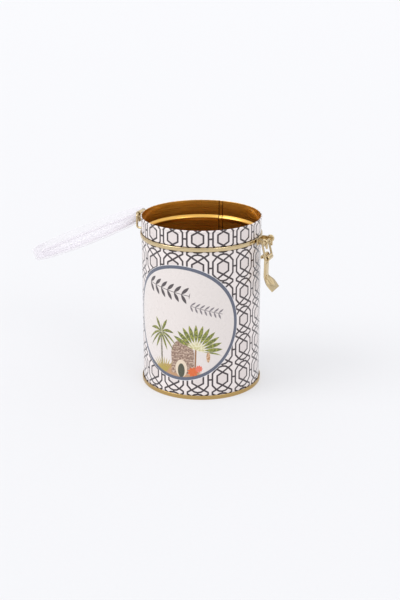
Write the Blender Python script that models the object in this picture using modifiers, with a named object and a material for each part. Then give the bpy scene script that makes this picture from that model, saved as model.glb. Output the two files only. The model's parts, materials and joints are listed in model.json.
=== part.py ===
"""Clip-top candle tin, lid open and clasp undone: printed tinplate body, clear hinged lid, toggle clasp.

Metres, +Z up. The origin is the centre of the underside of the recessed base panel, on the tin's axis.
The clasp stands at +X and the hinge at -X. Radial places are worked out from the body's outer radius,
and heights on the neck from the centre of the neck band.
"""

from math import asin, cos, pi, radians, sin, sqrt

import bmesh
import bpy
from mathutils import Matrix, Vector

MM = 0.001

# Body, base and neck band
BODY_RADIUS = 41.5 * MM
BODY_HEIGHT = 120.8 * MM  # seam foot to rim
SHEET = 0.4 * MM
TURN_STEPS = 72
FOOT_DROP = 2.6 * MM  # base panel's underside above the foot
SEAM_RISE = 0.3 * MM  # seam's top above the base panel's underside
SEAM_STAND_OUT = 0.9 * MM
SEAM_WIDTH = 2.2 * MM
HEM_STAND_OUT = 0.4 * MM
HEM_HEIGHT = 1.6 * MM
BAND_BELOW_RIM = 13.0 * MM
BAND_HEIGHT = 2.7 * MM
BAND_STAND_OUT = 1.0 * MM
GROOVE_DEPTH = 1.5 * MM
GROOVE_HEIGHT = 4.0 * MM
GAP = 0.35 * MM  # between pieces that touch

# Lap of the body's side seam
LAP_WIDTH = 7.0 * MM
LAP_THICKNESS = 0.4 * MM
LAP_ANGLE = radians(88)  # from +X towards +Y
LAP_END_GAP = 2.5 * MM

# Lid and gasket
LID_HEIGHT = 8.0 * MM
LID_WALL = 1.2 * MM
LID_EDGE_ROUND = 1.6 * MM
LID_OPEN_TILT = radians(22.7)  # below the horizontal
GASKET_WIDTH = 2.6 * MM
GASKET_THICKNESS = 1.2 * MM
PLUG_RING_HEIGHT = 3.0 * MM
CATCH_WIDTH = 8.0 * MM
CATCH_REACH = 3.0 * MM
CATCH_LEDGE = 10.1 * MM  # above the band
CATCH_HEIGHT = 2.1 * MM

# Rear hinge
WIRE = 1.5 * MM
HINGE_OUT = 4.6 * MM  # axis outside the body's wall
HINGE_UP = 9.8 * MM  # axis above the band
STAPLE_WIDTH = 14.0 * MM
STAPLE_LEG_UP = 0.6 * MM
STAPLE_BEND = 1.6 * MM
KNUCKLE_WIDTH = 8.4 * MM
KNUCKLE_WALL = 0.9 * MM
LEAF_THICKNESS = 0.7 * MM
LEAF_TOP = 1.0 * MM  # below the lid's top
RIVET = 1.4 * MM
RIVET_SPACING = 4.4 * MM
RIVET_HEAD = 2.6 * MM
RIVET_HEAD_HEIGHT = 0.5 * MM
RIVET_EDGE = 0.2 * MM  # from the rivet's head to the leaf's edge

# Clasp
PIVOT_OUT = 7.3 * MM  # link's axis outside the body's wall, level with the band
LINK_LENGTH = 11.95 * MM
LINK_LEAN = radians(5.3)  # from plumb, outwards
LINK_SIDE_GAP = 0.25 * MM  # between a leg and the ear beside it
LINK_BEND = 1.4 * MM
LINK_EYE_TURN = radians(285)  # how far the wire goes round the pin
EAR_THICKNESS = 0.8 * MM
EAR_SPACING = 9.6 * MM
EAR_HEIGHT = 3.8 * MM
BRACKET_WIDTH = 11.2 * MM
BRACKET_HEIGHT = 6.0 * MM
PIN_HEAD = 2.6 * MM
PIN_HEAD_LENGTH = 0.6 * MM
LEVER_SHEET = 0.8 * MM
LEVER_KNUCKLE_WIDTH = 8.0 * MM
LEVER_NECK_WIDTH = 8.2 * MM
LEVER_NECK_LENGTH = 12.6 * MM
LEVER_RIB = 0.5 * MM
RIB_SHARE = 0.45  # of the neck's half width
TAB_LENGTH = 11.0 * MM
TAB_WIDTH = 14.6 * MM
TAB_END_WIDTH = 13.4 * MM
TAB_FLARE = radians(41)
NOSE_WIDTH = 10.2 * MM
NOSE_REACH = 2.9 * MM
NOSE_RISE = 1.2 * MM
NOSE_RADIUS = 1.4 * MM
NOSE_HOLE = 0.7 * MM
NECK_LEAN = radians(-1)  # inwards from plumb
TAB_BEND = 4.0 * MM  # length over which the neck turns into the tab
TAB_SWELL = 0.55  # share of the tab's length where it is widest

# Places that follow from the sizes
BODY_INNER = BODY_RADIUS - SHEET
RIM_Z = BODY_HEIGHT - FOOT_DROP
BAND_Z = RIM_Z - BAND_BELOW_RIM
BAND_OUTER = BODY_RADIUS + BAND_STAND_OUT
LID_INNER = BODY_RADIUS + HEM_STAND_OUT + GAP
LID_OUTER = LID_INNER + LID_WALL
GASKET_Z = RIM_Z + GAP
LID_TOP = GASKET_Z + GASKET_THICKNESS + GAP + LID_WALL
SKIRT_Z = LID_TOP - LID_HEIGHT
RIVET_Z = LID_TOP - LEAF_TOP - RIVET_HEAD / 2 - RIVET_EDGE
HINGE = Vector((-BODY_RADIUS - HINGE_OUT, 0, BAND_Z + HINGE_UP))
PIVOT = Vector((BODY_RADIUS + PIVOT_OUT, 0, BAND_Z))
LINK_WIDTH = EAR_SPACING + EAR_THICKNESS + 2 * LINK_SIDE_GAP + WIRE
LINK_BAR = PIVOT + LINK_LENGTH * Vector((sin(LINK_LEAN), 0, -cos(LINK_LEAN)))
RUN_RADIUS = WIRE / 2 + GAP  # hole round a wire


def clear_scene():
    for obj in list(bpy.data.objects):
        bpy.data.objects.remove(obj, do_unlink=True)


def collection(name, hidden=False):
    made = bpy.data.collections.new(name)
    made.hide_render = hidden
    bpy.context.scene.collection.children.link(made)
    return made


def material(name, colour, roughness, metallic=0.0, alpha=1.0):
    made = bpy.data.materials.new(name)
    made.use_nodes = True
    shader = made.node_tree.nodes["Principled BSDF"]
    shader.inputs["Base Color"].default_value = (*colour, 1)
    shader.inputs["Roughness"].default_value = roughness
    shader.inputs["Metallic"].default_value = metallic
    shader.inputs["Alpha"].default_value = alpha
    made.diffuse_color = (*colour, alpha)
    return made


def carry(obj, parent):
    """Parents an object to an unturned empty, keeping where it stands."""
    obj.parent = parent
    obj.matrix_parent_inverse = Matrix.Translation(-parent.matrix_world.translation)


def place(obj, finish, parent=None):
    """Puts a finished piece in the tin's collection, with its cutters on the same parent."""
    TIN.objects.link(obj)
    obj.data.materials.append(finish)
    cutters = [change.object for change in obj.modifiers if change.type == "BOOLEAN"]
    for each in [obj] + cutters if parent else []:
        carry(each, parent)
    return obj


def hide_cutter(obj):
    CUTTERS.objects.link(obj)
    obj.hide_render = True
    obj.display_type = "WIRE"
    return obj


def mesh_object(name, bm):
    mesh = bpy.data.meshes.new(name)
    bm.to_mesh(mesh)
    bm.free()
    mesh.shade_smooth()
    mesh.set_sharp_from_angle(angle=radians(35))
    return bpy.data.objects.new(name, mesh)


def turned(name, profile, closed, steps=TURN_STEPS, angle=2 * pi):
    """A turned shape: (radius, height) points, down the outer side first."""
    bm = bmesh.new()
    points = [bm.verts.new((r, 0, z)) for r, z in profile]
    pairs = list(zip(points, points[1:] + points[:1]))
    for a, b in pairs if closed else pairs[:-1]:
        bm.edges.new((a, b))
    obj = mesh_object(name, bm)
    screw = obj.modifiers.new("Screw", "SCREW")
    screw.steps = screw.render_steps = steps
    screw.angle = angle
    screw.use_merge_vertices = angle == 2 * pi
    screw.merge_threshold = 0.00001
    return obj


def cylinder(name, radius, length, centre, axis="Y", segments=24):
    bm = bmesh.new()
    bmesh.ops.create_cone(bm, cap_ends=True, segments=segments, radius1=radius, radius2=radius, depth=length)
    turn = {"Y": Matrix.Rotation(pi / 2, 4, "X"), "X": Matrix.Rotation(pi / 2, 4, "Y"), "Z": Matrix()}[axis]
    bmesh.ops.transform(bm, matrix=Matrix.Translation(centre) @ turn, verts=bm.verts)
    return mesh_object(name, bm)


def block(name, low, high):
    low, high = Vector(low), Vector(high)
    bm = bmesh.new()
    bmesh.ops.create_cube(bm, size=1)
    bmesh.ops.scale(bm, vec=high - low, verts=bm.verts)
    bmesh.ops.translate(bm, vec=(low + high) / 2, verts=bm.verts)
    return mesh_object(name, bm)


def sheet_outline(name, outline, thickness, middle_y):
    """A flat piece in the XZ plane, cut from sheet: outline of (x, z) points."""
    bm = bmesh.new()
    points = [bm.verts.new((x, middle_y - thickness / 2, z)) for x, z in outline]
    face = bm.faces.new(points)
    side = bmesh.ops.extrude_face_region(bm, geom=[face])["geom"]
    moved = [v for v in side if isinstance(v, bmesh.types.BMVert)]
    bmesh.ops.translate(bm, vec=(0, thickness, 0), verts=moved)
    bmesh.ops.recalc_face_normals(bm, faces=bm.faces)
    return mesh_object(name, bm)


def wire(name, path, diameter=WIRE):
    """A round wire along a path, as a welded mesh."""
    curve = bpy.data.curves.new(name, "CURVE")
    curve.dimensions = "3D"
    curve.bevel_depth = diameter / 2
    curve.bevel_resolution = 2
    curve.use_fill_caps = True
    spline = curve.splines.new("POLY")
    spline.points.add(len(path) - 1)
    for point, spot in zip(spline.points, path):
        point.co = (*spot, 1)
    guide = bpy.data.objects.new(name + "_path", curve)
    bpy.context.scene.collection.objects.link(guide)
    graph = bpy.context.evaluated_depsgraph_get()
    mesh = bpy.data.meshes.new_from_object(guide.evaluated_get(graph))
    bm = bmesh.new()
    bm.from_mesh(mesh)
    bmesh.ops.remove_doubles(bm, verts=bm.verts, dist=0.000001)
    bmesh.ops.recalc_face_normals(bm, faces=bm.faces)
    bpy.data.objects.remove(guide)
    bpy.data.meshes.remove(mesh)
    return mesh_object(name, bm)


def arc(centre, radius, start, end, steps):
    """Points on an arc in the XZ plane round a centre, angles from +X towards +Z."""
    turns = [start + (end - start) * i / steps for i in range(steps + 1)]
    return [centre + radius * Vector((cos(t), 0, sin(t))) for t in turns]


def rounded(path, radius, steps=4):
    """The path with each inner corner replaced by a bend."""
    out = [path[0]]
    for before, corner, after in zip(path, path[1:], path[2:]):
        into, away = (corner - before).normalized(), (after - corner).normalized()
        turn = into.angle(away)
        reach = radius * sin(turn / 2) / cos(turn / 2)
        centre = corner + (away - into).normalized() * radius / cos(turn / 2)
        a, b = corner - into * reach - centre, corner + away * reach - centre
        out += [centre + radius * a.slerp(b, i / steps) for i in range(steps + 1)]
    return out + [path[-1]]


def combine(obj, other, operation):
    """Joins other to the piece, or cuts it away, and hides it."""
    hide_cutter(other)
    change = obj.modifiers.new(operation.title(), "BOOLEAN")
    change.operation = operation
    change.object = other
    change.solver = "EXACT"


def make_body():
    outer, inner, z = BODY_RADIUS, BODY_INNER, BAND_Z
    floor, half = -FOOT_DROP + 2 * SHEET, GROOVE_HEIGHT / 2
    hem = outer + HEM_STAND_OUT
    # The groove as (share of its half height, share of its depth), from its edge to its middle
    groove = [(1, 0), (0.82, 0.25), (0.45, 0.87), (0, 1)]
    groove += [(-h, d) for h, d in groove[-2::-1]]
    profile = [(outer - SHEET / 4, RIM_Z), (hem - SHEET / 4, RIM_Z - SHEET / 2)]
    profile += [(hem, RIM_Z - HEM_HEIGHT / 2), (hem - SHEET / 4, RIM_Z - HEM_HEIGHT)]
    profile += [(outer, RIM_Z - HEM_HEIGHT - SHEET / 2)]
    profile += [(outer - GROOVE_DEPTH * d, z + half * h) for h, d in groove]
    profile += [(outer, floor), (inner, floor)]
    profile += [(inner - GROOVE_DEPTH * d, z + (half + SHEET / 2) * h) for h, d in reversed(groove)]
    profile += [(inner, RIM_Z - SHEET / 2)]
    body = turned("body_shell", profile, closed=True)
    for low, high in ((LAP_END_GAP, z - half - SHEET), (z + half + SHEET, RIM_Z - LAP_END_GAP)):
        combine(body, lap_strip(low, high), "UNION")
    return place(body, PRINTED_TIN)


def lap_strip(low, high):
    """The side seam's lap stands inwards from the wall as a curved strip."""
    outer, inner = BODY_INNER + SHEET / 2, BODY_INNER - LAP_THICKNESS
    turn = LAP_WIDTH / BODY_INNER
    bm = bmesh.new()
    corners = [bm.verts.new((r, 0, z)) for r, z in ((outer, low), (outer, high), (inner, high), (inner, low))]
    face = bm.faces.new(corners)
    bmesh.ops.rotate(bm, verts=bm.verts, matrix=Matrix.Rotation(LAP_ANGLE - turn / 2, 3, "Z"))
    geom = [face] + list(face.edges) + list(face.verts)
    bmesh.ops.spin(bm, geom=geom, cent=(0, 0, 0), axis=(0, 0, 1), angle=turn, steps=4, use_duplicate=False)
    bmesh.ops.recalc_face_normals(bm, faces=bm.faces)
    return mesh_object("lap_strip", bm)


def make_base():
    outer = BODY_RADIUS + SEAM_STAND_OUT
    inside = outer - SEAM_WIDTH
    top, foot = SEAM_RISE, -FOOT_DROP
    profile = [(0, SHEET), (inside - 2 * SHEET, SHEET), (inside + SHEET, 0.3 * SHEET)]
    profile += [(inside + SHEET, foot + SHEET), (outer - SHEET, foot + SHEET), (outer - SHEET, top)]
    profile += [(outer - SHEET / 4, top), (outer, top - SHEET / 2), (outer, foot + SHEET)]
    profile += [(outer - SHEET, foot), (inside + SHEET / 2, foot), (inside, foot + SHEET / 2)]
    profile += [(inside, -SHEET), (inside - 3 * SHEET, 0), (0, 0)]
    return place(turned("base_end", profile, closed=False), GOLD_TIN)


def make_band():
    outer, half = BAND_OUTER, BAND_HEIGHT / 2
    inner = BODY_RADIUS - GROOVE_DEPTH + GAP
    section = [(outer - 0.25 * half, half), (outer - 0.1 * half, 0.7 * half), (outer, 0)]
    section += [(r, -h) for r, h in section[-2::-1]]
    section += [(outer - 0.8 * half, -half), (inner, -0.35 * half), (inner, 0.35 * half)]
    section += [(outer - 0.8 * half, half)]
    profile = [(r, BAND_Z + h) for r, h in section]
    return place(turned("neck_band", profile, closed=True), GOLD)


def make_lid(parent):
    """The lid is made closed, on the tin, and its empty then opens it."""
    soft = LID_EDGE_ROUND * (1 - sqrt(0.5))
    under = LID_TOP - LID_WALL
    plug = BODY_INNER - GROOVE_DEPTH - SHEET - 2 * GAP
    profile = [(0, LID_TOP), (LID_OUTER - LID_EDGE_ROUND, LID_TOP), (LID_OUTER - soft, LID_TOP - soft)]
    profile += [(LID_OUTER, LID_TOP - LID_EDGE_ROUND), (LID_OUTER, SKIRT_Z), (LID_INNER, SKIRT_Z)]
    profile += [(LID_INNER, under), (plug, under), (plug, under - PLUG_RING_HEIGHT)]
    profile += [(plug - LID_WALL, under - PLUG_RING_HEIGHT), (plug - LID_WALL, under), (0, under)]
    lid = turned("lid", profile, closed=False)
    ledge = BAND_Z + CATCH_LEDGE
    reach = LID_OUTER + CATCH_REACH
    root, low = LID_OUTER - LID_WALL / 2, ledge - CATCH_HEIGHT
    shape = [(root, ledge), (reach, ledge), (reach, ledge - CATCH_HEIGHT / 2)]
    shape += [(LID_OUTER + CATCH_REACH / 4, low), (root, low)]
    combine(lid, sheet_outline("lid_catch", shape[::-1], CATCH_WIDTH, 0), "UNION")
    for side in (-1, 1):
        centre = (-LID_OUTER, side * RIVET_SPACING / 2, RIVET_Z)
        combine(lid, cylinder("rivet_hole", RIVET / 2 + GAP, 3 * LID_WALL, centre, "X", 16), "DIFFERENCE")
    return place(lid, CLEAR_PLASTIC, parent)


def make_gasket(parent):
    outer = BODY_RADIUS + HEM_STAND_OUT / 2
    inner, top = outer - GASKET_WIDTH, GASKET_Z + GASKET_THICKNESS
    profile = [(outer, top), (outer, GASKET_Z), (inner, GASKET_Z), (inner, top)]
    return place(turned("lid_gasket", profile, closed=True), SILICONE, parent)


def make_staple():
    y = STAPLE_WIDTH / 2
    foot_x = -(sqrt(BAND_OUTER**2 - y**2) + GAP + WIRE / 2)
    low = BAND_Z + STAPLE_LEG_UP
    side = [(foot_x, low), (HINGE.x, low), (HINGE.x, HINGE.z)]
    path = [Vector((x, -y, z)) for x, z in side] + [Vector((x, y, z)) for x, z in reversed(side)]
    return place(wire("hinge_staple", rounded(path, STAPLE_BEND)), GOLD)


def make_knuckle(parent):
    outer = RUN_RADIUS + KNUCKLE_WALL
    leaf_x = -(LID_OUTER + GAP)
    top, y = LID_TOP - LEAF_TOP, KNUCKLE_WIDTH / 2
    knuckle = cylinder("hinge_knuckle", outer, KNUCKLE_WIDTH, HINGE)
    leaf = block("leaf_shape", (leaf_x - LEAF_THICKNESS, -y, HINGE.z), (leaf_x, y, top))
    combine(knuckle, leaf, "UNION")
    combine(knuckle, cylinder("wire_hole", RUN_RADIUS, 2 * KNUCKLE_WIDTH, HINGE), "DIFFERENCE")
    for side in (-1, 1):
        centre = (leaf_x, side * RIVET_SPACING / 2, RIVET_Z)
        hole = cylinder("leaf_hole", RIVET / 2 + GAP, 4 * LEAF_THICKNESS, centre, "X", 16)
        combine(knuckle, hole, "DIFFERENCE")
    return place(knuckle, GOLD, parent)


def make_rivets(parent):
    """Two rivets through the leaf and the lid's skirt, set flush on the inside."""
    head, tall, shank = RIVET_HEAD / 2, RIVET_HEAD_HEIGHT, RIVET / 2
    outside = LID_OUTER + GAP + LEAF_THICKNESS + GAP
    inside = LID_INNER + GAP / 2
    # Along the rivet's own axis, from the head on the leaf to the shank's end
    profile = [(0, outside + tall), (0.7 * head, outside + tall), (head, outside), (shank, outside)]
    profile += [(shank, inside), (0, inside)]
    for name, side in (("hinge_rivet_front", -1), ("hinge_rivet_back", 1)):
        rivet = turned(name, profile, closed=False, steps=16)
        where = Matrix.Translation((0, side * RIVET_SPACING / 2, RIVET_Z))
        rivet.matrix_world = where @ Matrix.Rotation(-pi / 2, 4, "Y")
        place(rivet, GOLD, parent)


def make_bracket():
    back = BAND_OUTER + GAP
    y, z = BRACKET_WIDTH / 2, BRACKET_HEIGHT / 2
    bracket = block("clasp_bracket", (back, -y, BAND_Z - z), (back + EAR_THICKNESS, y, BAND_Z + z))
    half = EAR_HEIGHT / 2
    nose = arc(PIVOT, half, -pi / 2, pi / 2, 8)
    outline = [(back + EAR_THICKNESS / 2, BAND_Z - half)] + [(p.x, p.z) for p in nose]
    outline += [(back + EAR_THICKNESS / 2, BAND_Z + half)]
    for side in (-1, 1):
        combine(bracket, sheet_outline("ear_shape", outline, EAR_THICKNESS, side * EAR_SPACING / 2), "UNION")
    combine(bracket, cylinder("pin_hole", RUN_RADIUS, 2 * BRACKET_WIDTH, PIVOT), "DIFFERENCE")
    return place(bracket, GOLD)


def make_pin():
    head = PIN_HEAD / 2
    half = LINK_WIDTH / 2 + WIRE / 2 + GAP + PIN_HEAD_LENGTH
    flat = half - PIN_HEAD_LENGTH
    side = [(0, half), (0.7 * head, half), (head, half - PIN_HEAD_LENGTH / 2), (head, flat), (WIRE / 2, flat)]
    profile = side + [(r, -h) for r, h in reversed(side)]
    pin = turned("clasp_pin", profile, closed=False, steps=20)
    pin.matrix_world = Matrix.Translation(PIVOT) @ Matrix.Rotation(pi / 2, 4, "X")
    return place(pin, GOLD)


def make_link(parent):
    """A wire frame: an eye round the pin at each side, two legs and the bar that carries the lever."""
    eye, y = RUN_RADIUS + WIRE / 2, LINK_WIDTH / 2
    # The leg touches the eye's wall side
    leave = pi + LINK_LEAN + asin(eye / LINK_LENGTH)
    side_view = arc(PIVOT, eye, leave - LINK_EYE_TURN, leave, 16) + [LINK_BAR]
    near, far = ([p + Vector((0, side * y, 0)) for p in side_view] for side in (-1, 1))
    frame = rounded([near[-2], near[-1], far[-1], far[-2]], LINK_BEND)
    return place(wire("clasp_link", near[:-2] + frame + far[-3::-1]), GOLD, parent)


def half_width(s):
    """Half the lever's width at a distance down from its knuckle."""
    t = max(0, s - LEVER_NECK_LENGTH) / TAB_LENGTH
    swell = sin(min(1, t / TAB_SWELL) * pi / 2) ** 1.3
    narrowing = max(0, t - TAB_SWELL) / (1 - TAB_SWELL)
    wide = LEVER_NECK_WIDTH + (TAB_WIDTH - LEVER_NECK_WIDTH) * swell
    return (wide - (TAB_WIDTH - TAB_END_WIDTH) * narrowing) / 2


def lean(s):
    """The lever's angle from plumb at a distance down from its knuckle, outwards."""
    t = min(1, max(0, (s - LEVER_NECK_LENGTH) / TAB_BEND + 0.5))
    return NECK_LEAN + (TAB_FLARE - NECK_LEAN) * (3 * t * t - 2 * t**3)


def blade_shape():
    """The lever's neck and tab: a strip with a raised rib, laid along a line that turns outwards."""
    rows, columns = 30, 12
    step = (LEVER_NECK_LENGTH + TAB_LENGTH) / rows
    wall_side = RUN_RADIUS + LEVER_SHEET
    spine = [LINK_BAR + Vector((LEVER_SHEET * 0.9 - wall_side, 0, -0.6 * wall_side))]
    for row in range(rows):
        angle = lean((row + 0.5) * step)
        spine.append(spine[-1] + step * Vector((sin(angle), 0, -cos(angle))))
    bm = bmesh.new()
    bmesh.ops.create_grid(bm, x_segments=columns, y_segments=rows, size=1)
    for vert in bm.verts:
        across, row = vert.co.x, round((1 - vert.co.y) / 2 * rows)
        s, angle = row * step, lean(row * step)
        ridge = LEVER_RIB * max(0, 1 - abs(across) / RIB_SHARE) * sin(pi * min(1, s / LEVER_NECK_LENGTH))
        outwards = Vector((cos(angle), 0, sin(angle)))
        vert.co = spine[row] + outwards * ridge + Vector((0, across * half_width(s), 0))
    blade = mesh_object("blade_shape", bm)
    thick = blade.modifiers.new("Solidify", "SOLIDIFY")
    thick.thickness = LEVER_SHEET
    thick.offset = 0
    return blade


def make_lever(parent):
    """Sheet lever: rolled knuckle on the link's bar, nose that hooks the lid's catch, neck and thumb tab."""
    width = LEVER_KNUCKLE_WIDTH
    nose_at = LINK_BAR + Vector((-NOSE_REACH, 0, NOSE_RISE))
    half = Vector((0, width / 2, LEVER_SHEET / 2))
    lever = cylinder("clasp_lever", RUN_RADIUS + LEVER_SHEET, width, LINK_BAR)
    nose = cylinder("nose_shape", NOSE_RADIUS, NOSE_WIDTH, nose_at, segments=20)
    tongue = block("tongue_shape", nose_at - half, nose_at + Vector((NOSE_REACH, 0, 0)) + half)
    for shape in (nose, tongue, blade_shape()):
        combine(lever, shape, "UNION")
    combine(lever, cylinder("bar_hole", RUN_RADIUS, 3 * width, LINK_BAR), "DIFFERENCE")
    combine(lever, cylinder("nose_hole", NOSE_HOLE, 2 * NOSE_WIDTH, nose_at, segments=16), "DIFFERENCE")
    return place(lever, GOLD, parent)


def axis_empty(name, where, parent=None):
    empty = bpy.data.objects.new(name, None)
    empty.empty_display_size = 5 * MM
    empty.location = where
    TIN.objects.link(empty)
    bpy.context.view_layer.update()
    if parent:
        carry(empty, parent)
        bpy.context.view_layer.update()
    return empty


clear_scene()
TIN = collection("candle_tin")
CUTTERS = collection("cutters", hidden=True)
PRINTED_TIN = material("printed tinplate", (0.79, 0.74, 0.76), 0.35)
GOLD_TIN = material("gold-lacquered tinplate", (0.55, 0.36, 0.12), 0.3, 1.0)
GOLD = material("pale gold plated steel", (0.75, 0.62, 0.38), 0.25, 1.0)
CLEAR_PLASTIC = material("clear styrene", (0.93, 0.93, 0.96), 0.1, alpha=0.3)
SILICONE = material("clear silicone", (0.92, 0.92, 0.94), 0.5, alpha=0.6)

make_body()
make_base()
make_band()
lid_axis = axis_empty("lid_axis", HINGE)
make_lid(lid_axis)
make_gasket(lid_axis)
make_knuckle(lid_axis)
make_rivets(lid_axis)
lid_axis.rotation_euler.y = -(pi + LID_OPEN_TILT)
make_staple()
make_bracket()
make_pin()
link_axis = axis_empty("link_axis", PIVOT)
make_link(link_axis)
lever_axis = axis_empty("lever_axis", LINK_BAR, link_axis)
make_lever(lever_axis)
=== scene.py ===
"""Clip-top candle tin with its clear lid open: each piece's finished look, in the order of its making.

The frame is in metres. Profiles and printed patterns are written in millimetres, and turned to metres
as they are used.
"""

import json
from math import asin, cos, pi, radians, sin, sqrt

import bmesh
import bpy
from mathutils import Matrix, Vector


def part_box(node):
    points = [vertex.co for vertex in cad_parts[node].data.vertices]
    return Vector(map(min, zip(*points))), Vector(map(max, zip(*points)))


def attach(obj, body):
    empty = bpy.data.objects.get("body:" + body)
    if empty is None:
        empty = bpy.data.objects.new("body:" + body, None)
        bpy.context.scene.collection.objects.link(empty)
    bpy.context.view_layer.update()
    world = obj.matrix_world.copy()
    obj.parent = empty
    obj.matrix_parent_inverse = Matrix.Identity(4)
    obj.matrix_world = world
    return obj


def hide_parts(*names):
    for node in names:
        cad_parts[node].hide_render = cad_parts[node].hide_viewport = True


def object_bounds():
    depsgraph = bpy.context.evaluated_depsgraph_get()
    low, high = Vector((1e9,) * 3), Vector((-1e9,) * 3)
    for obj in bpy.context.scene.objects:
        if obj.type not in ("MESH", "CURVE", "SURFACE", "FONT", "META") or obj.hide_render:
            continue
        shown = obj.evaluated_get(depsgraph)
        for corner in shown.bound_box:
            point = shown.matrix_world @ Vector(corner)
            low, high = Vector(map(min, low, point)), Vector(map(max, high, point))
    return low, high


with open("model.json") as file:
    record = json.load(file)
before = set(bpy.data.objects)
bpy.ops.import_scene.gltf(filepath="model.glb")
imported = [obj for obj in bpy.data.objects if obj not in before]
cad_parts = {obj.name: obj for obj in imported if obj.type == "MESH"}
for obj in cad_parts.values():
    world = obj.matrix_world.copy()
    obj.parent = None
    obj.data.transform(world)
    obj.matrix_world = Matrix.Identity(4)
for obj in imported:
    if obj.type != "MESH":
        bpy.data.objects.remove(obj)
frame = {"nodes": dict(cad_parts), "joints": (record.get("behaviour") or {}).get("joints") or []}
cad_box = [list(corner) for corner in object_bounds()]

# Camera: a long lens from the front right, as far off as a person standing at the table.
# It looks down about twenty degrees, so that the mouth shows as an open ellipse.
camera = bpy.data.objects.new("camera", bpy.data.cameras.new("camera"))
camera.data.sensor_fit = "VERTICAL"
camera.data.sensor_height = 36
camera.data.lens = 67.75
camera.location = (0.2941, -0.6953, 0.3211)
camera.rotation_euler = (radians(90 - 19.37), 0, radians(23))
bpy.context.scene.collection.objects.link(camera)
bpy.context.scene.camera = camera


# Stage: a plain pale floor, matt and slightly cool like a backlit paper roll, under two large soft lamps.
# The sky is white overhead and greyer towards the horizon, which gives the metal something to mirror.
def add(tree, kind, *values, out=0, **settings):
    """Adds a node, "Kind" or "Kind:OPERATION", with a socket or a value for each input in its order."""
    kind, _, operation = kind.partition(":")
    node = tree.nodes.new("ShaderNode" + kind)
    if operation:
        settings["operation"] = operation
    for name, value in settings.items():
        setattr(node, name, value)
    for socket, value in zip(node.inputs, values):
        if isinstance(value, bpy.types.NodeSocket):
            tree.links.new(value, socket)
        elif value is not None:
            socket.default_value = value
    return node.outputs[out]


def linear(hex_colour):
    """An sRGB colour such as "c8b070" as linear red, green and blue, with alpha."""
    parts = [int(hex_colour[i:i + 2], 16) / 255 for i in (0, 2, 4)]
    return (*[c / 12.92 if c <= 0.04045 else ((c + 0.055) / 1.055) ** 2.4 for c in parts], 1)


def new_material(name, colour, roughness, metallic=0.0, **inputs):
    """A Principled material, with its tree and its shader's inputs."""
    made = bpy.data.materials.new(name)
    made.use_nodes = True
    shader = made.node_tree.nodes["Principled BSDF"]
    inputs |= {"Base Color": linear(colour), "Roughness": roughness, "Metallic": metallic}
    for socket, value in inputs.items():
        shader.inputs[socket].default_value = value
    return made, made.node_tree, shader.inputs


paper, tree, shader = new_material("backlit white paper", "f4f4f7", 0.9, **{"Emission Strength": 0.5})
shader["Emission Color"].default_value = linear("fafafc")
fibre = add(tree, "TexNoise", add(tree, "TexCoord", out="Object"), None, 400.0, 3.0)
tree.links.new(add(tree, "MixRGB", fibre, linear("98989a"), linear("9b9b9c")), shader["Base Color"])

FLOOR_HALF = 8
bm = bmesh.new()
bmesh.ops.create_grid(bm, x_segments=1, y_segments=1, size=FLOOR_HALF)
bmesh.ops.translate(bm, vec=(0, 0, cad_box[0][2]), verts=bm.verts)
floor_mesh = bpy.data.meshes.new("floor")
bm.to_mesh(floor_mesh)
bm.free()
floor_mesh.materials.append(paper)
floor = bpy.data.objects.new("floor", floor_mesh)
bpy.context.scene.collection.objects.link(floor)

sky = bpy.data.worlds.new("studio")
sky.use_nodes = True
tree = sky.node_tree
height = add(tree, "SeparateXYZ", add(tree, "TexCoord", out="Generated"), out=2)
HORIZON, HIGH_SKY, DIM, BRIGHT = 0.05, 0.5, 0.5, 1.15
brightness = add(tree, "MapRange", height, HORIZON, HIGH_SKY, DIM, BRIGHT)
background = tree.nodes["Background"].inputs
tree.links.new(brightness, background["Strength"])
background["Color"].default_value = linear("fbfcff")
bpy.context.scene.world = sky
bpy.context.scene.view_settings.view_transform = "Standard"

lamps = ("key lamp", (0.7, 0.6, -0.8), 38, 1.15), ("side lamp", (-1.0, 0.5, -0.7), 24, 0.4)
for name, towards, spread, strength in lamps:
    lamp = bpy.data.lights.new(name, "SUN")
    lamp.angle, lamp.energy = radians(spread), strength
    holder = bpy.data.objects.new(name, lamp)
    holder.rotation_euler = Vector(towards).to_track_quat("-Z", "Y").to_euler()
    bpy.context.scene.collection.objects.link(holder)

# Body: one sheet of tinplate, printed flat, rolled round and locked together up the back, with its top edge
# curled outwards into a hem and a groove rolled round the neck. Varnished print outside, gold lacquer inside.
MM = 0.001
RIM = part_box("body_shell")[1].z / MM
HEM_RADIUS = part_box("body_shell")[1].x / MM
BAND_LOW, BAND_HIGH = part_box("neck_band")
BAND_Z = (BAND_LOW.z + BAND_HIGH.z) / 2 / MM
HEM, LIP = 0.4, 0.25
HEM_TURN, HEM_END = 1.2, 1.75
WALL = HEM_RADIUS - HEM
SHEET = 0.4
GROOVE_DEPTH, GROOVE_HALF = 1.5, 2.0
TURN_STEPS = 288


def arc(r, z, radius, start, end, steps=6):
    """Points (r, z) on an arc round a centre, in degrees from outwards towards up."""
    turns = [radians(start + (end - start) * i / steps) for i in range(steps + 1)]
    return [(r + radius * cos(t), z + radius * sin(t)) for t in turns]


def groove(radius, half):
    """The rolled groove in the wall's side view, from its top to its bottom."""
    shares = [1 - i / 10 for i in range(21)]
    return [(radius - GROOVE_DEPTH * (1 - t * t) ** 1.2, BAND_Z + half * t) for t in shares]


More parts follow.
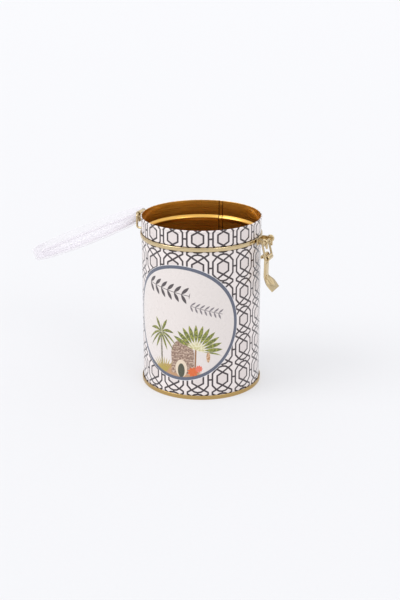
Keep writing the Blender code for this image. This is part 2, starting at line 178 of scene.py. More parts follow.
def turned(profile, closed=True, angle=2 * pi, steps=TURN_STEPS):
    """A turned bmesh, in metres, from a profile of (r, z) points in millimetres."""
    bm = bmesh.new()
    points = [bm.verts.new((r * MM, 0, z * MM)) for r, z in profile]
    pairs = list(zip(points, points[1:] + points[:1]))
    edges = [bm.edges.new(pair) for pair in (pairs if closed else pairs[:-1])]
    full = angle == 2 * pi
    bmesh.ops.spin(bm, geom=points + edges, cent=(0, 0, 0), axis=(0, 0, 1), angle=angle, steps=steps,
                   use_merge=full)
    bmesh.ops.remove_doubles(bm, verts=bm.verts, dist=1e-7)
    bmesh.ops.recalc_face_normals(bm, faces=bm.faces)
    return bm


def finish_piece(name, bm, material, slot, body, *nodes, sharp=40):
    """Makes the bmesh an object that rides on a body and stands for its CAD nodes."""
    mesh = bpy.data.meshes.new(name)
    bm.to_mesh(mesh)
    bm.free()
    mesh.materials.append(material)
    mesh.shade_smooth()
    mesh.set_sharp_from_angle(angle=radians(sharp))
    piece = bpy.data.objects.new(name, mesh)
    bpy.context.scene.collection.objects.link(piece)
    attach(piece, body)
    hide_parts(*nodes)
    return piece


# Offset print under a gloss varnish: an off-white ground, a dark grey lattice of interlaced hexagons,
# and a round medallion. Points of the lattice are (across, up) from a hexagon's centre, in a quarter of it.
printed, tree, shader = new_material(
    "varnished offset print on tinplate", "e8e1e3", 0.3, **{"Coat Weight": 0.35})
place = add(tree, "TexCoord", out="Object")
split = add(tree, "SeparateXYZ", place).node.outputs
turn = add(tree, "Math:ARCTAN2", split[0], add(tree, "Math:MULTIPLY", split[1], -1.0))
round_mm = add(tree, "Math:MULTIPLY", turn, WALL)
up_mm = add(tree, "Math:MULTIPLY", split[2], 1 / MM)

REPEATS = 15
COLUMN, ROW = 2 * pi * WALL / REPEATS, 20.1
LATTICE_START = (radians(19.5) * WALL, 72.2)
LINE_HALF = 0.62
HEX_SIDE, HEX_TIP, HEX_SLOPE = 3.87, 4.8, 0.57
OUTER_SIDE, OUTER_TIP = 7.2, 9.4
hexagon = [(HEX_SIDE, 0), (HEX_SIDE, 2.6), (0, HEX_TIP)]
strap = [(0, HEX_TIP), (3.7, 7.3), (OUTER_SIDE, 9.3), (OUTER_SIDE, ROW / 2)]
outer_hexagon = [(OUTER_SIDE, 0), (OUTER_SIDE, 4.4), (4.6, 7.4), (2.3, 9.0), (0, OUTER_TIP)]
ties = [(OUTER_SIDE, 0), (COLUMN / 2, 0)], [(0, OUTER_TIP), (0, ROW / 2)]


def nearest_line(tree, spot, lines):
    """The distance in millimetres from a spot to the nearest of some bent lines."""
    nearest = None
    for line in lines:
        for a, b in zip(line, line[1:]):
            run = Vector((b[0] - a[0], b[1] - a[1], 0))
            offset = add(tree, "VectorMath:SUBTRACT", spot, (*a, 0))
            share = add(tree, "VectorMath:DOT_PRODUCT", offset, run / run.length_squared, out="Value")
            foot = add(tree, "VectorMath:SCALE", run, None, None, add(tree, "Clamp", share))
            gap = add(tree, "VectorMath:DISTANCE", offset, foot, out="Value")
            nearest = gap if nearest is None else add(tree, "Math:MINIMUM", nearest, gap)
    return nearest


def inside(tree, value, edge, soft=0.12):
    """1 where a value is under an edge and 0 where it is over, with a soft step."""
    return add(tree, "MapRange", value, edge - soft, edge + soft, 1.0, 0.0, interpolation_type="SMOOTHSTEP")


across = add(tree, "Math:PINGPONG", add(tree, "Math:SUBTRACT", round_mm, LATTICE_START[0]), COLUMN / 2)
along = add(tree, "Math:PINGPONG", add(tree, "Math:SUBTRACT", up_mm, LATTICE_START[1]), ROW / 2)
cell = add(tree, "CombineXYZ", across, along)
ink = inside(tree, nearest_line(tree, cell, (hexagon, strap, outer_hexagon, *ties)), LINE_HALF)
leaning = add(tree, "Math:ADD", along, add(tree, "Math:MULTIPLY", across, HEX_SLOPE))
in_hexagon = add(tree, "Math:MULTIPLY", inside(tree, across, HEX_SIDE), inside(tree, leaning, HEX_TIP))
mottle = add(tree, "TexNoise", place, None, 90.0, 3.0)
ground = add(tree, "MixRGB", mottle, linear("ebe3e0"), linear("e6dcd9"))
ground = add(tree, "MixRGB", in_hexagon, ground, linear("dcd2cf"))
colour = add(tree, "MixRGB", ink, ground, linear("382e31"))

# The medallion in its own millimetres, x to the right and y up from its centre.
MEDALLION_TURN, MEDALLION_Z, MEDALLION_RADIUS = radians(1.6), 52.2, 41.25
RING_INNER, HALO = 38.9, 0.25
art = add(tree, "CombineXYZ", add(tree, "Math:SUBTRACT", round_mm, MEDALLION_TURN * WALL),
          add(tree, "Math:SUBTRACT", up_mm, MEDALLION_Z))
from_centre = add(tree, "VectorMath:LENGTH", art, out="Value")
blotch = add(tree, "TexNoise", art, None, 0.5, 4.0)
fine = add(tree, "TexNoise", art, None, 2.2, 3.0)
dapple = add(tree, "MapRange", add(tree, "TexNoise", art, None, 0.75, 3.0), 0.42, 0.58)


def polar(tree, spot, centre, fold=False, droop=0.0):
    """Distance and angle from +X round a centre; fold mirrors the left half, and droop bends it down."""
    here = add(tree, "SeparateXYZ", add(tree, "VectorMath:SUBTRACT", spot, (*centre, 0))).node.outputs
    x, y = here[0], here[1]
    if fold:
        x = add(tree, "Math:ABSOLUTE", x)
    if droop:
        y = add(tree, "Math:MULTIPLY_ADD", add(tree, "Math:MULTIPLY", x, x), droop, y)
    reach = add(tree, "VectorMath:LENGTH", add(tree, "CombineXYZ", x, y), out="Value")
    return reach, add(tree, "Math:ARCTAN2", y, x)


def blades(tree, reach, angle, spacing, widest, half, share):
    """Leaf blades round a centre: widest at a distance, narrowing to points within a share of it."""
    off = add(tree, "Math:MULTIPLY", add(tree, "Math:PINGPONG", angle, spacing / 2), reach)
    lens = add(tree, "Math:DIVIDE", add(tree, "Math:SUBTRACT", reach, widest), widest * share)
    width = add(tree, "Math:MULTIPLY_ADD", add(tree, "Math:MULTIPLY", lens, lens), -half, half)
    return inside(tree, add(tree, "Math:SUBTRACT", off, width), 0.0)


def sector(tree, angle, middle, half):
    """1 where an angle is within half a spread of its middle."""
    return inside(tree, add(tree, "Math:ABSOLUTE", add(tree, "Math:SUBTRACT", angle, middle)), half, 0.03)


def box_mask(tree, spot, centre, half_x, half_y, lean=0.0):
    """1 in an upright box with soft edges; lean shifts it sideways for each millimetre up."""
    here = add(tree, "SeparateXYZ", add(tree, "VectorMath:SUBTRACT", spot, (*centre, 0))).node.outputs
    x = add(tree, "Math:MULTIPLY_ADD", here[1], -lean, here[0])
    sides = inside(tree, add(tree, "Math:ABSOLUTE", x), half_x)
    return add(tree, "Math:MULTIPLY", sides, inside(tree, add(tree, "Math:ABSOLUTE", here[1]), half_y))


def ellipse(tree, spot, centre, half_x, half_y, rough=0.0):
    """1 in an ellipse, whose outline wanders by a share of its size."""
    here = add(tree, "Mapping", spot, (*centre, 0), None, (half_x, half_y, 1), vector_type="TEXTURE")
    reach = add(tree, "VectorMath:LENGTH", here, out="Value")
    if rough:
        reach = add(tree, "Math:MULTIPLY_ADD", fine, rough, reach)
    return inside(tree, reach, 1 + rough / 2, 0.04)


def paint(tree, below, mask, hex_a, hex_b, mix):
    """Lays two mixed inks over the colour below, where the mask is."""
    return add(tree, "MixRGB", mask, below, add(tree, "MixRGB", mix, linear(hex_a), linear(hex_b)))


def sprig(tree, spot, foot, lean, length, leaf, half):
    """A stem with pairs of pointed leaves, from its foot along its lean."""
    pitch = leaf * 0.72
    here = add(tree, "Mapping", spot, (*foot, 0), (0, 0, lean), None, vector_type="TEXTURE")
    parts = add(tree, "SeparateXYZ", here).node.outputs
    beside = add(tree, "Math:ABSOLUTE", parts[1])
    local = add(tree, "CombineXYZ", add(tree, "Math:FLOORED_MODULO", parts[0], pitch), beside)
    turned_leaf = add(tree, "Mapping", local, (0, 0, 0), (0, 0, radians(52)), None, vector_type="TEXTURE")
    leaf_parts = add(tree, "SeparateXYZ", turned_leaf).node.outputs
    lens = add(tree, "Math:MULTIPLY_ADD", leaf_parts[0], 2 / leaf, -1.0)
    width = add(tree, "Math:MULTIPLY_ADD", add(tree, "Math:MULTIPLY", lens, lens), -half, half)
    leaves = inside(tree, add(tree, "Math:SUBTRACT", add(tree, "Math:ABSOLUTE", leaf_parts[1]), width), 0.0)
    shape = add(tree, "Math:MAXIMUM", leaves, inside(tree, beside, 0.22, 0.1))
    reach = add(tree, "Math:ABSOLUTE", add(tree, "Math:SUBTRACT", parts[0], length / 2))
    return add(tree, "Math:MULTIPLY", shape, inside(tree, reach, length / 2))


field = add(tree, "MixRGB", blotch, linear("e2dad6"), linear("dbd3cf"))
bold_sprig = sprig(tree, art, (-25, 25.5), radians(-9), 33, 7.5, 1.15)
picture = paint(tree, field, bold_sprig, "3c3637", "5a5254", fine)
thin_sprig = sprig(tree, art, (8, 13.5), radians(-16), 23, 4.6, 0.6)
picture = paint(tree, picture, thin_sprig, "6b6468", "8c858a", fine)

# Soil, hut and planting stand on one line near the foot of the medallion.
soil = ellipse(tree, art, (-2, -36), 17, 5.5, 0.5)
picture = paint(tree, picture, soil, "c89a63", "a58473", fine)
HUT, DOOR, DOME_Y, DOME_HALF, COURSE = 2.2, 1.4, -22.5, 8.4, 1.3
dome = ellipse(tree, art, (HUT, DOME_Y), DOME_HALF, 11, 0.15)
hut = add(tree, "Math:MAXIMUM", dome, box_mask(tree, art, (HUT, -30), 8.2, 6.5))
picture = paint(tree, picture, hut, "c4ab98", "7c5f50", dapple)
uneven = add(tree, "Math:MULTIPLY_ADD", fine, 1.2, add(tree, "SeparateXYZ", art, out=1))
courses = inside(tree, add(tree, "Math:PINGPONG", uneven, COURSE), 0.3, 0.25)
thatch = add(tree, "Math:MULTIPLY", ellipse(tree, art, (HUT, DOME_Y), DOME_HALF, 10.5), courses)
picture = paint(tree, picture, thatch, "6b4f42", "a38a78", dapple)
picture = paint(tree, picture, ellipse(tree, art, (DOOR, -32.5), 4.2, 6.4), "e6d9c6", "d9c3a8", fine)
picture = paint(tree, picture, ellipse(tree, art, (DOOR, -34), 2.5, 5.2), "57604a", "3a2d26", fine)

# Feather palm on the left, fan palm on the right.
trunk = box_mask(tree, art, (-14.2, -23), 0.75, 14, lean=-0.03)
picture = paint(tree, picture, trunk, "6f6a60", "a09a88", dapple)
reach, angle = polar(tree, art, (-14.4, -8.4), fold=True, droop=0.055)
fronds = blades(tree, reach, angle, radians(33), 6.3, 0.95, 0.97)
picture = paint(tree, picture, fronds, "4f562c", "939440", dapple)
stalk = box_mask(tree, art, (11.4, -26), 0.6, 9, lean=0.03)
picture = paint(tree, picture, stalk, "8a5a3c", "a8825a", fine)
reach, angle = polar(tree, art, (11.8, -18.4))
upper = sector(tree, angle, radians(72), radians(86))
ribs = add(tree, "Math:MULTIPLY", blades(tree, reach, angle, radians(15), 6.5, 0.55, 1.0), upper)
picture = paint(tree, picture, ribs, "e3dcbc", "c5bf86", dapple)
fan = add(tree, "Math:MULTIPLY", blades(tree, reach, angle, radians(15), 12.2, 1.4, 0.52), upper)
picture = paint(tree, picture, fan, "5b6330", "97993f", dapple)
picture = paint(tree, picture, ellipse(tree, art, (20.2, -23.6), 1.3, 3.8), "a8794f", "d6b492", dapple)

# Grasses and flowers in front.
reach, angle = polar(tree, art, (-12.5, -39))
grass = add(tree, "Math:MULTIPLY", blades(tree, reach, angle, radians(11), 6.5, 0.5, 1.0), sector(
    tree, angle, radians(95), radians(50)))
picture = paint(tree, picture, grass, "8f8f3c", "c4a04a", fine)
flowers = ((9.6, -34.6), 3.6, "e2722c", "c8562a"), ((13.8, -32.0), 2.6, "e85f47", "d9826a")
for spot, size, warm, deep in flowers:
    reach, angle = polar(tree, art, spot)
    bloom = blades(tree, reach, angle, radians(40), size * 0.55, size * 0.3, 0.95)
    picture = paint(tree, picture, bloom, warm, deep, fine)

picture = add(tree, "MixRGB", inside(tree, from_centre, RING_INNER), linear("5b6070"), picture)
colour = add(tree, "MixRGB", inside(tree, from_centre, MEDALLION_RADIUS + HALO), colour, linear("f3f0f1"))
colour = add(tree, "MixRGB", inside(tree, from_centre, MEDALLION_RADIUS), colour, picture)
tree.links.new(colour, shader["Base Color"])
# The varnish lies very slightly uneven, in waves of a few millimetres.
waves = add(tree, "TexNoise", place, None, 260.0, 2.0)
tree.links.new(add(tree, "MapRange", waves, 0.3, 0.7, 0.24, 0.36), shader["Roughness"])
tree.links.new(add(tree, "Bump", 0.12, 0.0001, 0.0001, waves), shader["Normal"])

# Gold lacquer over bright tinplate: a clear amber coat, so the metal's fine rolling lines show through it.
# They run round the tin, about half a millimetre apart.
lacquer, tree, shader = new_material("gold-lacquered tinplate", "dfae52", 0.3, 1.0, **{"Coat Weight": 0.7})
place = add(tree, "TexCoord", out="Object")
rolled = add(tree, "TexNoise", add(tree, "Mapping", place, None, None, (25, 25, 1900)), None, 1.0, 3.0)
clouds = add(tree, "TexNoise", place, None, 35.0, 3.0)
tone = add(tree, "MixRGB", clouds, linear("e8b95a"), linear("dca546"))
tone = add(tree, "MixRGB", rolled, tone, linear("e1af50"))

# Painted shade: a thin dark brown line is painted along each edge of the lock seam, standing for the shadow
# in the gap where the fold meets the wall, to just above the bottom end.
SEAM_LEFT, SEAM_RIGHT, SEAM_FOOT = radians(94.7), radians(90.9), 3.0
split = add(tree, "SeparateXYZ", place).node.outputs
round_seam = add(tree, "Math:ARCTAN2", split[1], split[0])
seam_shade_above_foot = inside(tree, add(tree, "Math:MULTIPLY", split[2], -1 / MM), -SEAM_FOOT)
# Each edge gets its line of painted shade, mixed into the lacquer's colour above the foot.
for edge, half in ((SEAM_LEFT, 0.36), (SEAM_RIGHT, 0.18)):
    off = add(tree, "Math:ABSOLUTE", add(tree, "Math:SUBTRACT", round_seam, edge))
    line = inside(tree, add(tree, "Math:MULTIPLY", off, WALL), half, 0.1)
    tone = add(tree, "MixRGB", add(tree, "Math:MULTIPLY", line, seam_shade_above_foot), tone, linear("4a2606"))
tree.links.new(tone, shader["Base Color"])
tree.links.new(add(tree, "MapRange", rolled, 0.3, 0.7, 0.24, 0.36), shader["Roughness"])
tree.links.new(add(tree, "Bump", 0.03, 0.0001, 0.0001, rolled), shader["Normal"])

inner = WALL - SHEET
floor_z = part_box("body_shell")[0].z / MM
profile = arc(inner + LIP, RIM - LIP, LIP, 180, 90) + arc(WALL, RIM - HEM, HEM, 90, 0)
profile += arc(WALL, RIM - HEM_TURN, HEM, 0, -60) + [(WALL, RIM - HEM_END)]
profile += groove(WALL, GROOVE_HALF) + [(WALL, floor_z), (inner, floor_z)]
profile += groove(inner, GROOVE_HALF + SHEET / 2)[::-1]
body = finish_piece("tin_body", turned(profile), printed, "printed_tin", "tin", "body_shell")
body.data.materials.append(lacquer)
for face in body.data.polygons:
    outwards = Vector((face.center.x, face.center.y, 0)).normalized()
    face.material_index = int(face.normal.dot(outwards) < -0.3)

# Side seam: the sheet's two edges are folded together at the back and pressed flat, then lacquered over.
# The seam stands inwards as a narrow strip that follows the groove.
LAP_THICK, LAP_GAP, LAP_SUNK = 0.4, 2.5, 0.1
lap_angle = SEAM_LEFT - SEAM_RIGHT
wall_line = [(inner, RIM - LAP_GAP)] + groove(inner, GROOVE_HALF + SHEET / 2) + [(inner, LAP_GAP)]
strip = [(r + LAP_SUNK, z) for r, z in wall_line] + [(r - LAP_THICK, z) for r, z in wall_line[::-1]]
bm = turned(strip, angle=lap_angle, steps=12)
bmesh.ops.holes_fill(bm, edges=[e for e in bm.edges if e.is_boundary])
bmesh.ops.recalc_face_normals(bm, faces=bm.faces)
bmesh.ops.rotate(bm, verts=bm.verts, matrix=Matrix.Rotation(SEAM_RIGHT, 3, "Z"))
finish_piece("side_seam", bm, lacquer, "gold_tin", "tin")

# Bottom end: a drawn disc whose flange is rolled with the body's lower edge into a double seam.
# The seam is the foot that the tin stands on, and the panel inside it sits a little higher.
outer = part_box("base_end")[1].x / MM
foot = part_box("base_end")[0].z / MM
SEAM_WIDTH, FOOT_EDGE, SEAM_EDGE = 2.2, 0.5, 0.35
inner_seam = outer - SEAM_WIDTH
profile = [(0, SHEET), (inner_seam - 0.8, SHEET)] + arc(inner_seam + 0.1, SHEET - 0.5, 0.3, 90, 0, 4)
profile += [(inner_seam + 0.4, foot + 0.6), (outer - 0.45, foot + 0.6), (outer - 0.45, 0.2)]
profile += arc(outer - SEAM_EDGE, 0, SEAM_EDGE, 90, 0)
profile += arc(outer - FOOT_EDGE, foot + FOOT_EDGE, FOOT_EDGE, 0, -90)
profile += arc(inner_seam + FOOT_EDGE, foot + FOOT_EDGE, FOOT_EDGE, 270, 180)
profile += arc(inner_seam - FOOT_EDGE, -FOOT_EDGE, FOOT_EDGE, 0, 90) + [(0, 0)]

# Its lacquer is paler than the body's and satin, with faint clouds a few millimetres across.
end_plate, tree, shader = new_material("pale gold lacquered end plate", "bf9f68", 0.3, 1.0)
grain = add(tree, "TexNoise", add(tree, "TexCoord", out="Object"), None, 220.0, 4.0)
tree.links.new(add(tree, "MixRGB", grain, linear("c1a26a"), linear("ba9b63")), shader["Base Color"])
tree.links.new(add(tree, "MapRange", grain, 0.3, 0.7, 0.27, 0.33), shader["Roughness"])
finish_piece("bottom_end", turned(profile, closed=False), end_plate, "gold_tin", "tin", "base_end")

# Neck band: a closed hoop of pale gold strip, rolled half round, sprung into the groove.
# It carries the hinge at the back and the clasp at the front.
# The plating is a soft mirror, duller in patches of about six millimetres, over steel's very fine grain.
fittings, tree, shader = new_material("pale gold plated steel", "c9b286", 0.2, 1.0)
place = add(tree, "TexCoord", out="Object")
wear = add(tree, "TexNoise", place, None, 160.0, 4.0)
tree.links.new(add(tree, "MixRGB", wear, linear("dcc9a2"), linear("cab388")), shader["Base Color"])
tree.links.new(add(tree, "MapRange", wear, 0.3, 0.7, 0.1, 0.22), shader["Roughness"])
drawn = add(tree, "TexNoise", place, None, 2400.0, 2.0)
tree.links.new(add(tree, "Bump", 0.08, 0.0001, 0.0001, drawn), shader["Normal"])

outer, half = BAND_HIGH.x / MM, (BAND_HIGH.z - BAND_LOW.z) / 2 / MM
BAND_BULGE, BAND_SUNK, BAND_ROOT, ROOT_HALF = 0.6, 0.2, 1.15, 0.45
turns = [radians(90 - 180 * i / 16) for i in range(17)]
profile = [(outer - BAND_BULGE + BAND_BULGE * sqrt(max(0, cos(t))), BAND_Z + half * sin(t)) for t in turns]
profile += [(WALL - BAND_SUNK, BAND_Z - half), (WALL - BAND_ROOT, BAND_Z - ROOT_HALF)]
profile += [(WALL - BAND_ROOT, BAND_Z + ROOT_HALF), (WALL - BAND_SUNK, BAND_Z + half)]
finish_piece("gold_neck_band", turned(profile), fittings, "gold_fittings", "tin", "neck_band")

# Lid: clear polystyrene, injection moulded, with a skirt that drops over the hem, a plug ring that holds
# the gasket, and a small catch in front. It is made shut and then swung open on the hinge.
joints = {joint["name"]: joint for joint in frame["joints"]}
HINGE = Vector(joints["lid_hinge"]["pos_m"])
shut = radians(joints["lid_hinge"]["range_deg"][1])
open_lid = Matrix.Translation(HINGE) @ Matrix.Rotation(-shut, 4, "Y") @ Matrix.Translation(-HINGE)
LID_WALL, LID_INNER, LID_TOP, SKIRT = 1.2, HEM_RADIUS + 0.35, RIM + 3.1, RIM - 4.9
LID_CORNER, LID_FILLET, LID_EDGE, PLUG_DEPTH = 1.6, 0.6, 0.3, 2.7
under, lid_outer, plug = LID_TOP - LID_WALL, LID_INNER + LID_WALL, 38.5

# Polystyrene is clear face on and shows most where it is seen edge on, and flow marks vary its gloss.
styrene, tree, shader = new_material("clear injection-moulded polystyrene", "ece6ed", 0.12)
shader["IOR"].default_value = 1.59
facing = add(tree, "LayerWeight", 0.35, out="Facing")
tree.links.new(add(tree, "MapRange", facing, 0.0, 1.0, 0.08, 0.4), shader["Alpha"])
flow = add(tree, "TexNoise", add(tree, "TexCoord", out="Object"), None, 120.0, 2.0)
tree.links.new(add(tree, "MapRange", flow, 0.3, 0.7, 0.08, 0.2), shader["Roughness"])

profile = [(0, LID_TOP)] + arc(lid_outer - LID_CORNER, LID_TOP - LID_CORNER, LID_CORNER, 90, 0, 8)
profile += arc(lid_outer - LID_EDGE, SKIRT + LID_EDGE, LID_EDGE, 0, -90, 3)
profile += arc(LID_INNER + LID_EDGE, SKIRT + LID_EDGE, LID_EDGE, 270, 180, 3)
profile += arc(LID_INNER - LID_FILLET, under - LID_FILLET, LID_FILLET, 0, 90, 4) + [(plug, under)]
profile += arc(plug - LID_EDGE, under - PLUG_DEPTH, LID_EDGE, 0, -90, 3)
profile += arc(plug - LID_WALL + LID_EDGE, under - PLUG_DEPTH, LID_EDGE, 270, 180, 3)
profile += [(plug - LID_WALL, under), (0, under)]
bm = turned(profile, closed=False)
bmesh.ops.transform(bm, matrix=open_lid, verts=bm.verts)
finish_piece("clear_lid", bm, styrene, "clear_plastic", "lid", "lid")

CATCH_LONG, CATCH_WIDE, CATCH_HIGH, CATCH_SLOPE = 3.6, 8, 2.1, 1.2
middle_x, middle_z = lid_outer + 1.2, BAND_Z + 10.1 - CATCH_HIGH / 2
bm = bmesh.new()
catch = bmesh.ops.create_cube(bm, size=1)["verts"]
bmesh.ops.scale(bm, vec=(CATCH_LONG * MM, CATCH_WIDE * MM, CATCH_HIGH * MM), verts=catch)
bmesh.ops.translate(bm, vec=(middle_x * MM, 0, middle_z * MM), verts=catch)
slope = [v for v in catch if v.co.x > middle_x * MM and v.co.z < middle_z * MM]
bmesh.ops.translate(bm, vec=(-CATCH_SLOPE * MM, 0, 0), verts=slope)
bmesh.ops.bevel(bm, geom=bm.edges, offset=0.25 * MM, segments=3, profile=0.5, material=-1, affect="EDGES")
bmesh.ops.transform(bm, matrix=open_lid, verts=bm.verts)
finish_piece("lid_catch", bm, styrene, "clear_plastic", "lid")

# Gasket: a flat ring of clear silicone, pressed in round the plug ring so that it seals on the tin's rim.
# Silicone is milkier than the lid, with a matt skin.
silicone, tree, shader = new_material("clear silicone rubber", "f2eef3", 0.45, Alpha=0.4)
shader["IOR"].default_value = 1.41
haze = add(tree, "TexNoise", add(tree, "TexCoord", out="Object"), None, 300.0, 2.0)
tree.links.new(add(tree, "MapRange", haze, 0.3, 0.7, 0.38, 0.55), shader["Roughness"])
GASKET_EDGE, GASKET_WIDTH = 0.3, 2.6
ring_out, ring_in = WALL + 0.2 - GASKET_EDGE, WALL + 0.2 - GASKET_WIDTH + GASKET_EDGE
ring_low, ring_high = RIM + 0.35 + GASKET_EDGE, RIM + 1.55 - GASKET_EDGE
profile = []
for r, z, start in ((ring_out, ring_high, 90), (ring_out, ring_low, 0), (ring_in, ring_low, -90),
                    (ring_in, ring_high, 180)):
    profile += arc(r, z, GASKET_EDGE, start, start - 90, 3)
bm = turned(profile)
bmesh.ops.transform(bm, matrix=open_lid, verts=bm.verts)
finish_piece("silicone_gasket", bm, silicone, "silicone", "lid", "lid_gasket")


# Hinge: a bent wire staple on the neck band, and a leaf rolled round it that two rivets hold to the lid.
# Pressed and turned pieces keep their plain form, with every edge eased as plating rounds it.
def eased(node, width, angle=30):
    """A CAD node's own shape, as one merged bmesh with its sharp edges bevelled."""
    bm = bmesh.new()
    bm.from_mesh(frame["nodes"][node].data)
    bmesh.ops.remove_doubles(bm, verts=bm.verts, dist=2e-6)
    bmesh.ops.dissolve_limit(bm, angle_limit=radians(1), verts=bm.verts, edges=bm.edges)
    sharp = [e for e in bm.edges if e.is_manifold and e.calc_face_angle() > radians(angle)]
    bmesh.ops.bevel(bm, geom=sharp, offset=width * MM, segments=2, profile=0.5, material=-1, affect="EDGES",
                    clamp_overlap=True)
    return bm


def bent_wire(path, diameter, sides=16):
    """A bmesh of round wire along a path of points in metres, with closed ends."""
    curve = bpy.data.curves.new("wire", "CURVE")
    curve.dimensions = "3D"
    curve.bevel_depth = diameter / 2
    curve.bevel_resolution = sides // 4
    curve.use_fill_caps = True
    spline = curve.splines.new("POLY")
    spline.points.add(len(path) - 1)
    for point, spot in zip(spline.points, path):
        point.co = (*spot, 1)
    guide = bpy.data.objects.new("wire", curve)
    bpy.context.scene.collection.objects.link(guide)
    graph = bpy.context.evaluated_depsgraph_get()
    mesh = bpy.data.meshes.new_from_object(guide.evaluated_get(graph))
    bm = bmesh.new()
    bm.from_mesh(mesh)
    bmesh.ops.remove_doubles(bm, verts=bm.verts, dist=1e-6)
    bmesh.ops.recalc_face_normals(bm, faces=bm.faces)
    bpy.data.objects.remove(guide)
    bpy.data.meshes.remove(mesh)
    return bm


def rounded(path, radius, steps=10):
    """The path with each inner corner replaced by a bend."""
    out = [path[0]]
    for before, corner, after in zip(path, path[1:], path[2:]):
        into, away = (corner - before).normalized(), (after - corner).normalized()
        turn = into.angle(away)
        reach = radius * sin(turn / 2) / cos(turn / 2)
        centre = corner + (away - into).normalized() * radius / cos(turn / 2)
        a, b = corner - into * reach - centre, corner + away * reach - centre
        out += [centre + radius * a.slerp(b, i / steps) for i in range(steps + 1)]
    return out + [path[-1]]


WIRE, STAPLE_BEND = 1.5 * MM, 1.6 * MM
staple_low, staple_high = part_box("hinge_staple")
y = staple_high.y - WIRE / 2
side = [(staple_high.x, staple_low.z + WIRE / 2), (HINGE.x, staple_low.z + WIRE / 2), (HINGE.x, HINGE.z)]
path = [Vector((x, -y, z)) for x, z in side] + [Vector((x, y, z)) for x, z in reversed(side)]
wire = bent_wire(rounded(path, STAPLE_BEND), WIRE)
finish_piece("wire_staple", wire, fittings, "gold_fittings", "tin", "hinge_staple")
bm = eased("hinge_knuckle", 0.12)
finish_piece("rolled_hinge_leaf", bm, fittings, "gold_fittings", "lid", "hinge_knuckle")
for end in ("front", "back"):
    bm = eased("hinge_rivet_" + end, 0.1)
    finish_piece("lid_rivet_" + end, bm, fittings, "gold_fittings", "lid", "hinge_rivet_" + end)

# Clasp: a pressed bracket on the band stands two ears outwards, and a headed pin runs through them.
# On the pin swings a link, one length of wire whose ends are curled into eyes. All of it is plated.
PIVOT = Vector(joints["link_swing"]["pos_m"])
LINK_BAR = Vector(joints["lever_hang"]["pos_m"])
bracket_low, bracket_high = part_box("clasp_bracket")
PLATE, PLATE_CORNER = 0.8, 1.2
EAR_OUT, EAR_HALF, EAR_RADIUS = 4.8, 0.4, 1.9
TOE_OUT, TOE_DROP, TOE_RADIUS = 1.2, 4, 0.7
bm = bmesh.new()
plate = bmesh.ops.create_cube(bm, size=1)["verts"]
plate_top = PIVOT.z + EAR_RADIUS * MM
bmesh.ops.scale(bm, vec=(PLATE * MM, 2 * bracket_high.y, plate_top - bracket_low.z), verts=plate)
bmesh.ops.translate(
    bm, vec=(bracket_low.x + PLATE / 2 * MM, 0, (plate_top + bracket_low.z) / 2), verts=plate)
corners = [e for e in bm.edges if abs(e.verts[0].co.x - e.verts[1].co.x) > PLATE / 2 * MM]
bmesh.ops.bevel(
    bm, geom=corners, offset=PLATE_CORNER * MM, segments=6, profile=0.5, material=-1, affect="EDGES")
ear = arc(0, 0, EAR_RADIUS, 95, 0, 8) + arc(TOE_OUT, -TOE_DROP, TOE_RADIUS, 0, -180, 6)
ear_root = (bracket_low.x - PIVOT.x) / MM + 0.5
ear += [(0.1, -EAR_RADIUS), (ear_root, -EAR_RADIUS), (ear_root, EAR_RADIUS)]
for way in (-1, 1):
    side = (way * EAR_OUT - EAR_HALF) * MM
    outline = [bm.verts.new((PIVOT.x + x * MM, side, PIVOT.z + z * MM)) for x, z in ear]
    swept = bmesh.ops.extrude_face_region(bm, geom=[bm.faces.new(outline)])["geom"]
    moved = [v for v in swept if isinstance(v, bmesh.types.BMVert)]
    bmesh.ops.translate(bm, vec=(0, 2 * EAR_HALF * MM, 0), verts=moved)
bmesh.ops.recalc_face_normals(bm, faces=bm.faces)
rims = [e for e in bm.edges if e.is_manifold and e.calc_face_angle() > radians(60)]
bmesh.ops.bevel(bm, geom=rims, offset=0.1 * MM, segments=2, profile=0.5, material=-1, affect="EDGES")
finish_piece("eared_bracket", bm, fittings, "gold_fittings", "tin", "clasp_bracket")
finish_piece("headed_pin", eased("clasp_pin", 0.1), fittings, "gold_fittings", "tin", "clasp_pin")

link_length = (LINK_BAR - PIVOT).length
link_lean = asin((LINK_BAR - PIVOT).x / link_length)
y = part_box("clasp_link")[1].y - WIRE / 2
RUN_RADIUS = WIRE / 2 + 0.35 * MM
EYE_WRAP, LINK_BEND = radians(285), 1.4 * MM
eye = RUN_RADIUS + WIRE / 2
leave = pi + link_lean + asin(eye / link_length)
turns = [leave - EYE_WRAP * (1 - i / 30) for i in range(31)]
side_view = [PIVOT + eye * Vector((cos(t), 0, sin(t))) for t in turns] + [LINK_BAR]
near, far = ([p + Vector((0, way * y, 0)) for p in side_view] for way in (-1, 1))
corner = rounded([near[-2], near[-1], far[-1], far[-2]], LINK_BEND)
wire = bent_wire(near[:-2] + corner + far[-3::-1], WIRE)
finish_piece("wire_link", wire, fittings, "gold_fittings", "link", "clasp_link")

# Lever: one pressed strip. Its top end is rolled inwards into the nose that hooks the lid's catch, and a
# rolled eye holds the link's bar. A rib stiffens its neck, and its thumb tab turns outwards with a petal
# pressed into it.
LEVER_SHEET = 0.7
NOSE_AT, NOSE_RADIUS = LINK_BAR + Vector((-2.9, 0, 1.2)) * MM, 1.05
NECK_TOP = LINK_BAR + Vector((-1.55, 0, -1.1)) * MM
NECK_LENGTH, TAB_LENGTH = 12.6, 11.0
NECK_LEAN, TAB_FLARE = radians(-1), radians(41)
NOSE_WIDTH, NECK_WIDTH, TAB_WIDTH, TAB_END = 10.2, 8.2, 14.6, 13.4
WIDEST_AT = 0.55


def smooth_step(value, low, high):
    t = min(1, max(0, (value - low) / (high - low)))
    return t * t * (3 - 2 * t)


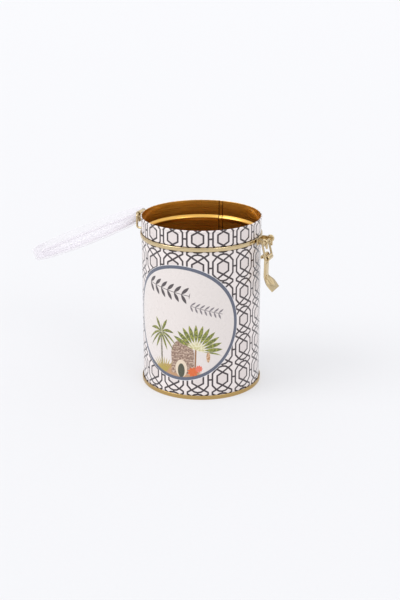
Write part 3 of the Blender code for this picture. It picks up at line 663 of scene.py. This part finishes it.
def lever_half_width(s):
    """Half the strip's width at a distance down from its eye; the rolled nose above it is at minus one."""
    if s < 0:
        return (NECK_WIDTH + (NOSE_WIDTH - NECK_WIDTH) * smooth_step(-s, 0.3, 0.7)) / 2
    t = max(0, s - NECK_LENGTH) / TAB_LENGTH
    swell = sin(min(1, t / WIDEST_AT) * pi / 2) ** 1.3
    wide = NECK_WIDTH + (TAB_WIDTH - NECK_WIDTH) * swell
    return (wide - (TAB_WIDTH - TAB_END) * max(0, t - WIDEST_AT) / (1 - WIDEST_AT)) / 2


def lever_relief(across, s):
    """How far the strip is pressed outwards: the neck's rib, and the tab's petal with its middle vein."""
    rib_ends = smooth_step(s, 2, 3.5) * smooth_step(-s, -12.8, -10.5)
    rib = 0.5 * smooth_step(0.62 - abs(across), 0, 0.2) * rib_ends
    t = (s - NECK_LENGTH) / TAB_LENGTH
    if t < -0.05:
        return rib
    edge = 0.74 * sin(pi * min(1, max(0, (t + 0.05) / 0.92)) ** 0.75) ** 0.7
    petal = 0.6 * smooth_step(edge - abs(across), 0, 0.14)
    vein = 0.3 * smooth_step(0.1 - abs(across), 0, 0.1) * smooth_step(-t, -0.85, -0.6)
    return rib + petal - 0.45 * smooth_step(edge - abs(across), 0.16, 0.5) + vein


step = 0.2
turns = [radians(a) for a in range(265, -1, -12)]
roll = [NOSE_AT + NOSE_RADIUS * MM * Vector((cos(t), 0, sin(t))) for t in turns]
line = [(p, -1.0) for p in roll]
spot, s = NECK_TOP, 0.0
line += [(roll[-1].lerp(spot, i / 8), i / 8 - 1) for i in range(1, 8)]
while s < NECK_LENGTH + TAB_LENGTH:
    line.append((spot, s))
    t = smooth_step(s, NECK_LENGTH - 2, NECK_LENGTH + 2)
    angle = NECK_LEAN + (TAB_FLARE - NECK_LEAN) * t
    spot = spot + step * MM * Vector((sin(angle), 0, -cos(angle)))
    s += step

columns = 36
bm = bmesh.new()
bmesh.ops.create_grid(bm, x_segments=columns, y_segments=len(line) - 1, size=1)
for vert in bm.verts:
    across, row = vert.co.x, round((1 - vert.co.y) / 2 * (len(line) - 1))
    point, s = line[row]
    along = line[min(row + 1, len(line) - 1)][0] - line[max(row - 1, 0)][0]
    outwards = Vector((-along.z, 0, along.x)).normalized()
    relief = lever_relief(across, s)
    vert.co = point + outwards * relief * MM + Vector((0, across * lever_half_width(s) * MM, 0))
lever = finish_piece("pressed_lever", bm, fittings, "gold_fittings", "lever", "clasp_lever")
thick = lever.modifiers.new("Solidify", "SOLIDIFY")
thick.thickness = LEVER_SHEET * MM
thick.offset = 0
thick.use_even_offset = True
soft = lever.modifiers.new("Bevel", "BEVEL")
soft.width = 0.12 * MM
soft.segments = 2
soft.limit_method = "ANGLE"
soft.angle_limit = radians(60)

eye_outer, eye_inner, eye_half, chamfer = 1.9, RUN_RADIUS / MM, 4.0, 0.15
profile = [(eye_outer, eye_half - chamfer), (eye_outer, chamfer - eye_half), (eye_outer - chamfer, -eye_half)]
profile += [(eye_inner + chamfer, -eye_half), (eye_inner, chamfer - eye_half)]
profile += [(eye_inner, eye_half - chamfer), (eye_inner + chamfer, eye_half), (eye_outer - chamfer, eye_half)]
bm = turned(profile, steps=48)
bmesh.ops.transform(bm, matrix=Matrix.Translation(LINK_BAR) @ Matrix.Rotation(pi / 2, 4, "X"), verts=bm.verts)
finish_piece("lever_eye", bm, fittings, "gold_fittings", "lever")
